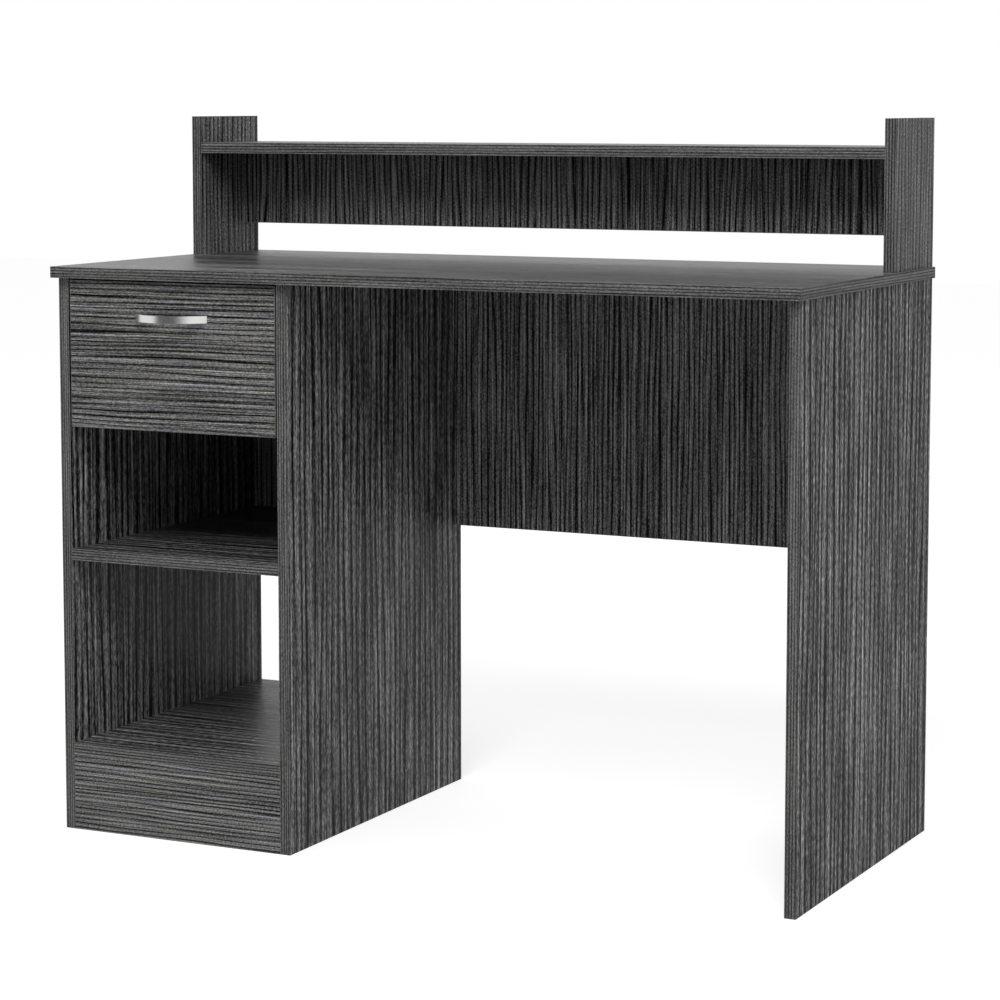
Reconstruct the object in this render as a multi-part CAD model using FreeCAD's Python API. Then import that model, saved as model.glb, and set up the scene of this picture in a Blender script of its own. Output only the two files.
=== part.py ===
import FreeCAD, Part
import math
import os

# A computer desk in millimetres, +Z up, seen from the front along +Y with +X to the right.
# A desktop stands on three panels. The left two hold a pedestal with a drawer and two open
# niches, and a low hutch with one shelf stands on the desktop's rear.
# The origin is on the floor, under the middle of the desk's overall box.

# Overall sizes
desk_width = 1060.0
desk_depth = 510.0
desktop_height = 763.0
hutch_rise = 197.0

# Boards and how they stand under the desktop
board_thickness = 15.0
band_thickness = 0.8
side_inset = 4.0
front_setback = 14.0
back_board_height = 373.0
back_board_lap = 8.0

# Pedestal
pedestal_clear_width = 320.0
kick_height = 104.0

# Hutch
upright_depth = 157.0
upright_over_shelf = 37.0
hutch_back_height = 103.0
hutch_back_inset = 26.5

# Drawer
drawer_front_height = 196.5
drawer_top_gap = 3.0
drawer_side_gap = 2.5
drawer_board_thickness = 12.0
drawer_box_height = 140.0
drawer_box_lift = 20.0
drawer_bottom_thickness = 3.0
drawer_groove_depth = 5.0
drawer_groove_lift = 10.0
drawer_back_dado = 3.0

# Bow handle
handle_hole_spacing = 96.0
handle_foot_overhang = 7.5
handle_foot_width = 12.0
handle_projection = 30.0
handle_strip_thickness = 5.0
handle_strip_height = 10.8
handle_edge_chamfer = 0.8
handle_drop = 47.0
handle_thread_depth = 7.0

# Roller runners beside the drawer
runner_space = 12.5
runner_setback = 2.0
runner_rear_gap = 64.0
open_rail_overlap = 100.0
rail_steel = 1.2
drawer_rail_height = 19.0
drawer_rail_foot = 11.0
channel_mouth_gap = 1.0
flange_web_gap = 1.3
insertion_gap_length = 30.0
stop_height = 4.0
roller_radius = 7.5
roller_width = 6.5
roller_web_gap = 0.8
roller_head_gap = 0.2
roller_end_distance = 12.0
roller_flange_gap = 0.6
track_gap = 0.3
stop_gap = 0.3
pin_radius = 2.5
pin_running_gap = 0.08
pin_head_radius = 4.0
pin_head_height = 0.7

# Cam fittings and dowels
cam_radius = 7.5
cam_floor = 3.0
cam_setback = 24.0
cam_bolt_radius = 3.0
cam_bolt_root = 10.5
cam_gallery_gap = 0.3
cam_tip_gap = 0.5
dowel_radius = 4.0
dowel_in_face = 10.0
dowel_in_edge = 20.0

# Screws
hutch_screw_radius = 2.0
hutch_screw_length = 50.0
hutch_screw_head_radius = 4.2
hutch_screw_head_height = 3.0
rail_screw_radius = 1.9
rail_screw_length = 13.0
rail_screw_head_radius = 3.6
rail_screw_head_height = 0.8
back_screw_radius = 1.9
back_screw_length = 35.0
back_screw_head_radius = 3.8
back_screw_head_height = 2.0
handle_screw_radius = 2.0
handle_screw_head_radius = 4.0
handle_screw_head_height = 2.4

# Fits
drill_gap = 0.1
drill_bottom_gap = 0.5
groove_gap = 0.15
overrun = 5.0

# Round fittings that repeat have flats instead, so that the model stays light
rod_side_count = 8
head_side_count = 10
bolt_side_count = 6

# Where the fittings sit along their boards, from the edge that each name gives
desktop_cam_from_front = 60.0
desktop_cam_from_rear = 100.0
shelf_cam_from_front = 60.0
shelf_cam_from_rear = 60.0
kick_cam_from_top = 30.0
back_cam_from_edge = 90.0
back_dowel_from_end = 80.0
modesty_cam_from_edge = 130.0
modesty_dowel_from_end = 170.0
upright_screw_from_edge = 32.0
hutch_shelf_cam_from_front = 40.0
hutch_shelf_dowel_from_rear = 40.0
hutch_back_dowel_from_end = 250.0
rail_screw_from_end = 60.0
drawer_side_cam_from_edge = 35.0
drawer_back_screw_from_edge = 30.0

# Planes that the sizes above give
handle_reach = handle_projection - front_setback
front_y = (handle_reach - desk_depth) / 2
rear_y = front_y + desk_depth
left_x = -desk_width / 2
right_x = desk_width / 2
desktop_under_z = desktop_height - board_thickness
panel_front_y = front_y + front_setback
back_board_front_y = rear_y - board_thickness
back_board_bottom_z = desktop_under_z - back_board_height

left_panel_x = left_x + side_inset
pedestal_left_x = left_panel_x + board_thickness
pedestal_right_x = pedestal_left_x + pedestal_clear_width
divider_right_x = pedestal_right_x + board_thickness
right_panel_x = right_x - side_inset
right_panel_inner_x = right_panel_x - board_thickness
pedestal_centre_x = (pedestal_left_x + pedestal_right_x) / 2

bottom_shelf_top_z = kick_height + board_thickness
pedestal_shelf_top_z = back_board_bottom_z + back_board_lap
pedestal_shelf_z = pedestal_shelf_top_z - board_thickness

overall_height = desktop_height + hutch_rise
upright_front_y = rear_y - upright_depth
hutch_shelf_top_z = overall_height - upright_over_shelf
hutch_shelf_z = hutch_shelf_top_z - board_thickness
hutch_back_rear_y = rear_y - hutch_back_inset
hutch_back_front_y = hutch_back_rear_y - board_thickness
hutch_back_bottom_z = hutch_shelf_z - hutch_back_height

drawer_front_top_z = desktop_under_z - drawer_top_gap
drawer_front_bottom_z = drawer_front_top_z - drawer_front_height
drawer_front_rear_y = panel_front_y + board_thickness
drawer_front_left_x = pedestal_left_x + drawer_side_gap
drawer_front_right_x = pedestal_right_x - drawer_side_gap
drawer_box_left_x = pedestal_left_x + runner_space
drawer_box_right_x = pedestal_right_x - runner_space
drawer_inner_left_x = drawer_box_left_x + drawer_board_thickness
drawer_inner_right_x = drawer_box_right_x - drawer_board_thickness
drawer_box_bottom_z = drawer_front_bottom_z + drawer_box_lift
drawer_box_top_z = drawer_box_bottom_z + drawer_box_height
cabinet_rail_front_y = drawer_front_rear_y + runner_setback
cabinet_rail_rear_y = back_board_front_y - runner_rear_gap
runner_length = cabinet_rail_rear_y - cabinet_rail_front_y
drawer_travel = runner_length - open_rail_overlap
drawer_box_rear_y = drawer_front_rear_y + runner_length
drawer_back_front_y = drawer_box_rear_y - drawer_board_thickness
drawer_bottom_z = drawer_box_bottom_z + drawer_groove_lift
drawer_bottom_top_z = drawer_bottom_z + drawer_bottom_thickness

# The runner's channel, from the drawer rail that hangs in it
drawer_flange_top_z = drawer_box_bottom_z - rail_steel + drawer_rail_height
drawer_flange_under_z = drawer_flange_top_z - rail_steel
channel_ceiling_z = drawer_flange_top_z + track_gap
drawer_roller_z = drawer_flange_under_z - roller_flange_gap - roller_radius
channel_floor_z = drawer_roller_z - roller_radius - track_gap
cabinet_roller_z = drawer_flange_under_z - track_gap - roller_radius
cabinet_roller_y = cabinet_rail_front_y + roller_end_distance
drawer_roller_y = drawer_box_rear_y - roller_end_distance
channel_mouth_x = pedestal_left_x + runner_space - rail_steel - channel_mouth_gap

RIGHT = FreeCAD.Vector(1, 0, 0)
BACK = FreeCAD.Vector(0, 1, 0)
UP = FreeCAD.Vector(0, 0, 1)
angle_margin = 0.001

# The finished solids of each node, and the cutters still to be taken from them
solids = {}
cutters = {}


def vector(x, y, z):
    return FreeCAD.Vector(x, y, z)


def block(low, high):
    """A box from its lowest to its highest corner."""
    size = [top - bottom for bottom, top in zip(low, high)]
    return Part.makeBox(size[0], size[1], size[2], vector(low[0], low[1], low[2]))


def block_between(first, second):
    """A box from any two opposite corners, given as vectors."""
    low = [min(a, b) for a, b in zip(first, second)]
    high = [max(a, b) for a, b in zip(first, second)]
    return block(low, high)


def turned(start, along, radius, length):
    """A round bar that starts at a point and runs along a direction."""
    return Part.makeCylinder(radius, length, start, along)


def rod(start, along, radius, length, side_count=rod_side_count):
    """A bar with an even number of flats, which lie the same way whichever end it starts from."""
    across = along.cross(RIGHT if along.isParallel(UP, angle_margin) else UP)
    upward = along.cross(across)
    corners = []
    for corner in range(side_count):
        turn = 2 * math.pi * corner / side_count
        corners.append(start + across * (radius * math.cos(turn)) + upward * (radius * math.sin(turn)))
    corners.append(corners[0])
    return Part.Face(Part.makePolygon(corners)).extrude(along * length)


def add(node, shape):
    """Keep a solid under its node's name."""
    solids.setdefault(node, []).append(shape)


def drill(node, start, along, radius, depth, side_count=rod_side_count):
    """A hole into a node, which begins outside its surface."""
    hole = rod(start - along * overrun, along, radius, depth + overrun, side_count)
    cutters.setdefault(node, []).append(hole)


def mirrored(shape):
    """The same shape on the other side of the drawer."""
    return shape.mirror(vector(pedestal_centre_x, 0, 0), RIGHT)


def opposite(point):
    """The point on the other side of the drawer."""
    return vector(2 * pedestal_centre_x - point.x, point.y, point.z)


def banded_board(node, low, high, banded_sides):
    """A board whose named sides carry edge bands, which share the board's outer size."""
    core_low = list(low)
    core_high = list(high)
    for side in banded_sides:
        axis = "xyz".index(side[1])
        strip_low = list(core_low)
        strip_high = list(core_high)
        if side[0] == "-":
            core_low[axis] += band_thickness
            strip_high[axis] = core_low[axis]
        else:
            core_high[axis] -= band_thickness
            strip_low[axis] = core_high[axis]
        add(node + "_edge_band", block(strip_low, strip_high))
    add(node, block(core_low, core_high))


def cam_joint(at, into, face, housed, faced, thickness, prefix=""):
    """A cam housing in one board's face that pulls on a bolt in the other board's face.

    The joint's point lies where the housed board's edge meets the faced board, and the
    directions point into the housed board and out of the face that shows the housing.
    """
    side = into.cross(face)
    centre = at + into * cam_setback
    cam_height = thickness - cam_floor
    top = centre + face * (thickness / 2)
    pocket_depth = cam_height + drill_bottom_gap
    drill(housed, top, face * -1, cam_radius + drill_gap, pocket_depth, head_side_count)
    gallery_radius = cam_bolt_radius + cam_gallery_gap
    drill(housed, at, into, gallery_radius, cam_setback, bolt_side_count)
    seat_radius = cam_bolt_radius + drill_gap
    drill(faced, at, into * -1, seat_radius, cam_bolt_root + drill_bottom_gap, bolt_side_count)

    root = at - into * cam_bolt_root
    bolt_length = cam_bolt_root + cam_setback
    add(prefix + "cam_bolts", rod(root, into, cam_bolt_radius, bolt_length, bolt_side_count))

    slot_half = cam_bolt_radius + drill_gap
    slot = block_between(
        centre + into * cam_tip_gap - side * slot_half - face * (cam_height + overrun),
        centre - into * (cam_radius + overrun) + side * slot_half + face * slot_half,
    )
    housing = rod(top, face * -1, cam_radius, cam_height, head_side_count).cut(slot)
    add(prefix + "cam_housings", housing)


def dowel_joint(at, into, edged, faced, node):
    """A dowel from one board's edge into another board's face."""
    hole_radius = dowel_radius + drill_gap
    drill(edged, at, into, hole_radius, dowel_in_edge + drill_bottom_gap)
    drill(faced, at, into * -1, hole_radius, dowel_in_face + drill_bottom_gap)
    length = dowel_in_face + dowel_in_edge
    add(node, rod(at - into * dowel_in_face, into, dowel_radius, length))


def flat_head_screw(node, head_top, along, radius, length, head_radius, head_height):
    """A screw with a low round head, from the top of its head along its length."""
    head = rod(head_top, along, head_radius, head_height, head_side_count)
    shank = rod(head_top + along * head_height, along, radius, length)
    add(node, head.fuse(shank).removeSplitter())


def make_boards():
    """The desktop, the three panels, the pedestal's boards and the boards under the rear."""
    banded_board(
        "desktop",
        (left_x, front_y, desktop_under_z),
        (right_x, rear_y, desktop_height),
        ["-y", "+y", "-x", "+x"],
    )
    panels = {
        "left_side_panel": left_panel_x,
        "pedestal_divider_panel": pedestal_right_x,
        "right_side_panel": right_panel_inner_x,
    }
    for name, x in panels.items():
        banded_board(
            name,
            (x, panel_front_y, 0),
            (x + board_thickness, rear_y, desktop_under_z),
            ["-y", "+y"],
        )
    banded_board(
        "pedestal_shelf",
        (pedestal_left_x, panel_front_y, pedestal_shelf_z),
        (pedestal_right_x, back_board_front_y, pedestal_shelf_top_z),
        ["-y"],
    )
    banded_board(
        "bottom_shelf",
        (pedestal_left_x, panel_front_y, kick_height),
        (pedestal_right_x, rear_y, bottom_shelf_top_z),
        ["-y", "+y"],
    )
    add("kick_plate", block(
        (pedestal_left_x, panel_front_y, 0),
        (pedestal_right_x, panel_front_y + board_thickness, kick_height),
    ))
    banded_board(
        "niche_back_panel",
        (pedestal_left_x, back_board_front_y, back_board_bottom_z),
        (pedestal_right_x, rear_y, desktop_under_z),
        ["-z"],
    )
    banded_board(
        "modesty_panel",
        (divider_right_x, back_board_front_y, back_board_bottom_z),
        (right_panel_inner_x, rear_y, desktop_under_z),
        ["-z"],
    )


def make_hutch():
    """Two uprights over the outer panels, a shelf between them and a back board below it."""
    uprights = {
        "hutch_left_upright": left_panel_x,
        "hutch_right_upright": right_panel_inner_x,
    }
    for name, x in uprights.items():
        banded_board(
            name,
            (x, upright_front_y, desktop_height),
            (x + board_thickness, rear_y, overall_height),
            ["-y", "+y", "+z"],
        )
    banded_board(
        "hutch_shelf",
        (pedestal_left_x, upright_front_y, hutch_shelf_z),
        (right_panel_inner_x, rear_y, hutch_shelf_top_z),
        ["-y", "+y"],
    )
    banded_board(
        "hutch_back_panel",
        (pedestal_left_x, hutch_back_front_y, hutch_back_bottom_z),
        (right_panel_inner_x, hutch_back_rear_y, hutch_shelf_z),
        ["-z"],
    )


def fasten_desktop():
    """Two cams and a dowel join each panel to the desktop, with the cams out of sight."""
    panel_faces = {
        "left_side_panel": (left_panel_x, RIGHT),
        "pedestal_divider_panel": (pedestal_right_x, RIGHT * -1),
        "right_side_panel": (right_panel_inner_x, RIGHT * -1),
    }
    for name, (x, face) in panel_faces.items():
        middle_x = x + board_thickness / 2
        for y in (panel_front_y + desktop_cam_from_front, rear_y - desktop_cam_from_rear):
            at = vector(middle_x, y, desktop_under_z)
            cam_joint(at, UP * -1, face, name, "desktop", board_thickness)
        at = vector(middle_x, (panel_front_y + rear_y) / 2, desktop_under_z)
        dowel_joint(at, UP * -1, name, "desktop", "wood_dowels")


def fasten_ends(node, left, right, face, cam_places, dowel_places):
    """Both ends of a board held by cams and dowels.

    Left and right name the boards at its ends and the planes where it meets them, and each
    place is a Y and a Z.
    """
    for (name, x), into in ((left, RIGHT), (right, RIGHT * -1)):
        for y, z in cam_places:
            cam_joint(vector(x, y, z), into, face, node, name, board_thickness)
        for y, z in dowel_places:
            dowel_joint(vector(x, y, z), into, node, name, "wood_dowels")


def dowel_top_edge(node, upper, places):
    """Dowels from a standing board's top edge up into the board over it."""
    for x, y, z in places:
        dowel_joint(vector(x, y, z), UP * -1, node, upper, "wood_dowels")


def fasten_pedestal():
    """Cams and dowels at the ends of the pedestal's boards."""
    left = ("left_side_panel", pedestal_left_x)
    right = ("pedestal_divider_panel", pedestal_right_x)
    shelves = {
        "pedestal_shelf": (pedestal_shelf_z, back_board_front_y),
        "bottom_shelf": (kick_height, rear_y),
    }
    for name, (under_z, shelf_rear_y) in shelves.items():
        middle_z = under_z + board_thickness / 2
        cam_places = [
            (panel_front_y + shelf_cam_from_front, middle_z),
            (shelf_rear_y - shelf_cam_from_rear, middle_z),
        ]
        dowel_places = [((panel_front_y + shelf_rear_y) / 2, middle_z)]
        fasten_ends(name, left, right, UP * -1, cam_places, dowel_places)

    kick_y = panel_front_y + board_thickness / 2
    kick_cams = [(kick_y, kick_height - kick_cam_from_top)]
    fasten_ends("kick_plate", left, right, BACK, kick_cams, [])

    back_y = back_board_front_y + board_thickness / 2
    back_cams = [
        (back_y, desktop_under_z - back_cam_from_edge),
        (back_y, back_board_bottom_z + back_cam_from_edge),
    ]
    fasten_ends("niche_back_panel", left, right, BACK, back_cams, [])
    dowel_top_edge("niche_back_panel", "desktop", [
        (pedestal_left_x + back_dowel_from_end, back_y, desktop_under_z),
        (pedestal_right_x - back_dowel_from_end, back_y, desktop_under_z),
    ])


def fasten_modesty_panel():
    """Two cams at each end, and dowels up into the desktop."""
    left = ("pedestal_divider_panel", divider_right_x)
    right = ("right_side_panel", right_panel_inner_x)
    y = back_board_front_y + board_thickness / 2
    cam_places = [
        (y, desktop_under_z - modesty_cam_from_edge),
        (y, back_board_bottom_z + modesty_cam_from_edge),
    ]
    fasten_ends("modesty_panel", left, right, BACK, cam_places, [])
    dowel_top_edge("modesty_panel", "desktop", [
        (divider_right_x + modesty_dowel_from_end, y, desktop_under_z),
        (right_panel_inner_x - modesty_dowel_from_end, y, desktop_under_z),
    ])


def fasten_hutch():
    """Screws and dowels under the uprights, cams and dowels at the shelf and the back board."""
    left = ("hutch_left_upright", pedestal_left_x)
    right = ("hutch_right_upright", right_panel_inner_x)
    shelf_middle_z = hutch_shelf_z + board_thickness / 2
    shelf_cams = [(upright_front_y + hutch_shelf_cam_from_front, shelf_middle_z)]
    shelf_dowels = [(rear_y - hutch_shelf_dowel_from_rear, shelf_middle_z)]
    fasten_ends("hutch_shelf", left, right, UP * -1, shelf_cams, shelf_dowels)

    back_y = hutch_back_front_y + board_thickness / 2
    back_middle_z = hutch_back_bottom_z + hutch_back_height / 2
    fasten_ends("hutch_back_panel", left, right, BACK, [(back_y, back_middle_z)], [])
    dowel_top_edge("hutch_back_panel", "hutch_shelf", [
        (pedestal_left_x + hutch_back_dowel_from_end, back_y, hutch_shelf_z),
        (right_panel_inner_x - hutch_back_dowel_from_end, back_y, hutch_shelf_z),
    ])

    uprights = {"hutch_left_upright": left_panel_x, "hutch_right_upright": right_panel_inner_x}
    for name, x in uprights.items():
        middle_x = x + board_thickness / 2
        for y in (upright_front_y + upright_screw_from_edge, rear_y - upright_screw_from_edge):
            hutch_screw(vector(middle_x, y, desktop_under_z), name)
        middle = vector(middle_x, (upright_front_y + rear_y) / 2, desktop_height)
        dowel_joint(middle, UP, name, "desktop", "wood_dowels")


def hutch_screw(at, upright):
    """A screw sunk in the desktop's underside, which runs up into an upright."""
    shank_length = hutch_screw_length - hutch_screw_head_height
    flat_head_screw(
        "hutch_screws", at, UP, hutch_screw_radius, shank_length,
        hutch_screw_head_radius, hutch_screw_head_height,
    )
    hole_radius = hutch_screw_radius + drill_gap
    sink_radius = hutch_screw_head_radius + drill_gap
    drill("desktop", at, UP, sink_radius, hutch_screw_head_height, head_side_count)
    drill("desktop", at, UP, hole_radius, board_thickness + overrun)
    drill(upright, at, UP, hole_radius, hutch_screw_length + drill_bottom_gap)


def make_drawer_box():
    """The drawer's front, two sides, back and thin bottom, which slides in grooves."""
    banded_board(
        "drawer_front",
        (drawer_front_left_x, panel_front_y, drawer_front_bottom_z),
        (drawer_front_right_x, drawer_front_rear_y, drawer_front_top_z),
        ["-z", "+z", "-x", "+x"],
    )
    side = block(
        (drawer_box_left_x, drawer_front_rear_y, drawer_box_bottom_z),
        (drawer_inner_left_x, drawer_box_rear_y, drawer_box_top_z),
    )
    add("drawer_left_side", side)
    add("drawer_right_side", mirrored(side))
    back_left_x = drawer_inner_left_x - drawer_back_dado + groove_gap
    back_right_x = drawer_inner_right_x + drawer_back_dado - groove_gap
    back_low = (back_left_x, drawer_back_front_y, drawer_bottom_top_z)
    back_high = (back_right_x, drawer_box_rear_y, drawer_box_top_z)
    add("drawer_back", block(back_low, back_high))
    dado = block(
        (drawer_inner_left_x - drawer_back_dado, drawer_back_front_y, drawer_bottom_z - groove_gap),
        (drawer_inner_right_x + drawer_back_dado, drawer_box_rear_y + overrun, drawer_box_top_z + overrun),
    )
    bottom_left_x = drawer_inner_left_x - drawer_groove_depth + groove_gap
    bottom_right_x = drawer_inner_right_x + drawer_groove_depth - groove_gap
    bottom_front_y = drawer_front_rear_y - drawer_groove_depth + groove_gap
    add("drawer_bottom", block(
        (bottom_left_x, bottom_front_y, drawer_bottom_z),
        (bottom_right_x, drawer_box_rear_y, drawer_bottom_top_z),
    ))
    groove = block(
        (bottom_left_x - groove_gap, bottom_front_y - groove_gap, drawer_bottom_z - groove_gap),
        (bottom_right_x + groove_gap, drawer_box_rear_y + overrun, drawer_bottom_top_z + groove_gap),
    )
    for name in ("drawer_left_side", "drawer_right_side"):
        cutters.setdefault(name, []).extend([dado, groove])
    cutters.setdefault("drawer_front", []).append(groove)


def fasten_drawer():
    """Cams and a dowel hold each side to the front, and screws hold each side to the back."""
    middle_x = drawer_box_left_x + drawer_board_thickness / 2
    for z in (
        drawer_box_top_z - drawer_side_cam_from_edge,
        drawer_box_bottom_z + drawer_side_cam_from_edge,
    ):
        at = vector(middle_x, drawer_front_rear_y, z)
        cam_joint(
            at, BACK, RIGHT, "drawer_left_side", "drawer_front", drawer_board_thickness, "drawer_"
        )
        cam_joint(
            opposite(at), BACK, RIGHT * -1, "drawer_right_side", "drawer_front",
            drawer_board_thickness, "drawer_",
        )
    at = vector(middle_x, drawer_front_rear_y, (drawer_box_bottom_z + drawer_box_top_z) / 2)
    dowel_joint(at, BACK, "drawer_left_side", "drawer_front", "drawer_dowels")
    dowel_joint(opposite(at), BACK, "drawer_right_side", "drawer_front", "drawer_dowels")
    for z in (
        drawer_box_top_z - drawer_back_screw_from_edge,
        drawer_bottom_top_z + drawer_back_screw_from_edge,
    ):
        at = vector(drawer_box_left_x, drawer_back_front_y + drawer_board_thickness / 2, z)
        back_screw(at, RIGHT, "drawer_left_side")
        back_screw(opposite(at), RIGHT * -1, "drawer_right_side")


def back_screw(at, along, side):
    """A screw through a drawer side into the end of the drawer's back."""
    head_top = at - along * back_screw_head_height
    flat_head_screw(
        "drawer_back_screws", head_top, along, back_screw_radius, back_screw_length,
        back_screw_head_radius, back_screw_head_height,
    )
    for node in (side, "drawer_back"):
        drill(node, at, along, back_screw_radius + drill_gap, back_screw_length + drill_bottom_gap)


def make_handle():
    """A flat strip bent to an arc, whose two solid feet stand on the drawer's front."""
    centre_z = drawer_front_top_z - handle_drop
    low_z = centre_z - handle_strip_height / 2
    half_length = handle_hole_spacing / 2 + handle_foot_overhang
    inner_half = half_length - handle_foot_width
    outer_y = panel_front_y - handle_projection
    inner_y = outer_y + handle_strip_thickness

    left_toe = vector(pedestal_centre_x - half_length, panel_front_y, low_z)
    right_toe = vector(pedestal_centre_x + half_length, panel_front_y, low_z)
    left_heel = vector(pedestal_centre_x - inner_half, panel_front_y, low_z)
    right_heel = vector(pedestal_centre_x + inner_half, panel_front_y, low_z)
    outer_crown = vector(pedestal_centre_x, outer_y, low_z)
    inner_crown = vector(pedestal_centre_x, inner_y, low_z)
    outline = Part.Wire([
        Part.Arc(left_toe, outer_crown, right_toe).toShape(),
        Part.LineSegment(right_toe, right_heel).toShape(),
        Part.Arc(right_heel, inner_crown, left_heel).toShape(),
        Part.LineSegment(left_heel, left_toe).toShape(),
    ])
    handle = Part.Face(outline).extrude(UP * handle_strip_height)
    long_edges = [edge for edge in handle.Edges if edge.Curve.TypeId == "Part::GeomCircle"]
    add("drawer_handle", handle.makeChamfer(handle_edge_chamfer, long_edges))

    for side in (-1, 1):
        x = pedestal_centre_x + side * handle_hole_spacing / 2
        seat = vector(x, drawer_front_rear_y, centre_z)
        reach = board_thickness + handle_thread_depth
        flat_head_screw(
            "handle_screws", seat + BACK * handle_screw_head_height, BACK * -1,
            handle_screw_radius, reach, handle_screw_head_radius, handle_screw_head_height,
        )
        for node in ("drawer_front", "drawer_handle"):
            drill(node, seat, BACK * -1, handle_screw_radius + drill_gap, reach + drill_bottom_gap)


def cabinet_rail():
    """The channel on the left panel, with its two stops and the gap that lets a roller in."""
    web_x = pedestal_left_x + rail_steel
    low_z = channel_floor_z - rail_steel
    high_z = channel_ceiling_z + rail_steel
    profile = [
        (pedestal_left_x, low_z), (channel_mouth_x, low_z),
        (channel_mouth_x, channel_floor_z), (web_x, channel_floor_z),
        (web_x, channel_ceiling_z), (channel_mouth_x, channel_ceiling_z),
        (channel_mouth_x, high_z), (pedestal_left_x, high_z),
    ]
    rail = extruded_profile(profile, cabinet_rail_front_y, runner_length)
    lowered_centre = roller_radius + track_gap - stop_height
    stop_reach = math.sqrt(roller_radius ** 2 - lowered_centre ** 2) + stop_gap
    open_stop_rear_y = drawer_roller_y - drawer_travel - stop_reach
    closed_stop_front_y = drawer_roller_y + stop_reach
    for y in (open_stop_rear_y - rail_steel, closed_stop_front_y):
        rail = rail.fuse(block(
            (web_x, y, channel_floor_z),
            (channel_mouth_x, y + rail_steel, channel_floor_z + stop_height),
        ))
    insertion_gap = block(
        (web_x, cabinet_rail_front_y - overrun, channel_ceiling_z - track_gap),
        (channel_mouth_x + overrun, cabinet_rail_front_y + insertion_gap_length, high_z + overrun),
    )
    return rail.cut(insertion_gap).removeSplitter()


def drawer_rail():
    """The left drawer rail, whose foot carries the side and whose flange runs on a roller."""
    outer_x = pedestal_left_x + rail_steel + flange_web_gap
    web_x = drawer_box_left_x - rail_steel
    foot_x = drawer_box_left_x + drawer_rail_foot
    low_z = drawer_box_bottom_z - rail_steel
    profile = [
        (outer_x, drawer_flange_top_z), (outer_x, drawer_flange_under_z),
        (web_x, drawer_flange_under_z), (web_x, low_z),
        (foot_x, low_z), (foot_x, drawer_box_bottom_z),
        (drawer_box_left_x, drawer_box_bottom_z), (drawer_box_left_x, drawer_flange_top_z),
    ]
    return extruded_profile(profile, drawer_front_rear_y, runner_length)


def extruded_profile(profile, start_y, length):
    """A straight rail from the X and Z of its section."""
    points = [vector(x, start_y, z) for x, z in profile]
    points.append(points[0])
    return Part.Face(Part.makePolygon(points)).extrude(BACK * length)


def roller_on_pin(web_face, along):
    """A plastic roller with its headed pin, which stands on a rail's web."""
    start = web_face + along * roller_web_gap
    body = turned(start, along, roller_radius, roller_width)
    bore_radius = pin_radius + pin_running_gap
    bore = turned(start - along * overrun, along, bore_radius, roller_width + 2 * overrun)
    shank_length = roller_web_gap + roller_width + roller_head_gap
    shank = turned(web_face, along, pin_radius, shank_length)
    head_start = web_face + along * shank_length
    head = rod(head_start, along, pin_head_radius, pin_head_height, head_side_count)
    return body.cut(bore), shank.fuse(head).removeSplitter()


def make_runners():
    """A channel on each panel and a rail under each drawer side, with a roller on each."""
    rails = {"cabinet_rail": cabinet_rail(), "drawer_rail": drawer_rail()}
    for name, rail in rails.items():
        add("left_" + name, rail)
        add("right_" + name, mirrored(rail))

    cabinet_web = vector(pedestal_left_x + rail_steel, cabinet_roller_y, cabinet_roller_z)
    drawer_web = vector(drawer_box_left_x - rail_steel, drawer_roller_y, drawer_roller_z)
    for name, web_face, along in (("cabinet", cabinet_web, RIGHT), ("drawer", drawer_web, RIGHT * -1)):
        roller, pin = roller_on_pin(web_face, along)
        add("left_" + name + "_roller", roller)
        add("right_" + name + "_roller", mirrored(roller))
        add(name + "_roller_pins", pin)
        add(name + "_roller_pins", mirrored(pin))


def fasten_runners():
    """Screws through the channels into the panels, and up through the drawer rails' feet."""
    channel_middle_z = (channel_floor_z + channel_ceiling_z) / 2
    web_x = pedestal_left_x + rail_steel
    for y in (cabinet_rail_front_y + rail_screw_from_end, cabinet_rail_rear_y - rail_screw_from_end):
        at = vector(web_x, y, channel_middle_z)
        rail_screw("cabinet_rail_screws", at, RIGHT * -1, "left_cabinet_rail", "left_side_panel")
        rail_screw(
            "cabinet_rail_screws", opposite(at), RIGHT, "right_cabinet_rail",
            "pedestal_divider_panel",
        )
    foot_x = drawer_box_left_x + (drawer_board_thickness - drawer_groove_depth) / 2
    foot_z = drawer_box_bottom_z - rail_steel
    for y in (drawer_front_rear_y + rail_screw_from_end, drawer_box_rear_y - rail_screw_from_end):
        at = vector(foot_x, y, foot_z)
        rail_screw("drawer_rail_screws", at, UP, "left_drawer_rail", "drawer_left_side")
        rail_screw("drawer_rail_screws", opposite(at), UP, "right_drawer_rail", "drawer_right_side")


def rail_screw(node, at, along, rail, board):
    """A low-headed screw through a rail's steel into the board behind it."""
    flat_head_screw(
        node, at - along * rail_screw_head_height, along, rail_screw_radius, rail_screw_length,
        rail_screw_head_radius, rail_screw_head_height,
    )
    drill(rail, at, along, rail_screw_radius + drill_gap, rail_steel + track_gap)
    drill(board, at, along, rail_screw_radius + drill_gap, rail_screw_length + drill_bottom_gap)


def write_nodes():
    """Cut every node, and write it to its own file."""
    os.makedirs("parts", exist_ok=True)
    for node, shapes in solids.items():
        if node in cutters:
            shapes = [shape.cut(cutters[node]) for shape in shapes]
        whole = shapes[0] if len(shapes) == 1 else Part.makeCompound(shapes)
        if not whole.isValid():
            raise ValueError(node + " is not a valid shape")
        whole.exportStep("parts/" + node + ".step")
        print(node, len(whole.Solids), "solids", round(whole.Volume), "cubic millimetres")


make_boards()
make_hutch()
make_drawer_box()
make_handle()
make_runners()
fasten_desktop()
fasten_pedestal()
fasten_modesty_panel()
fasten_hutch()
fasten_drawer()
fasten_runners()
write_nodes()
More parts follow.
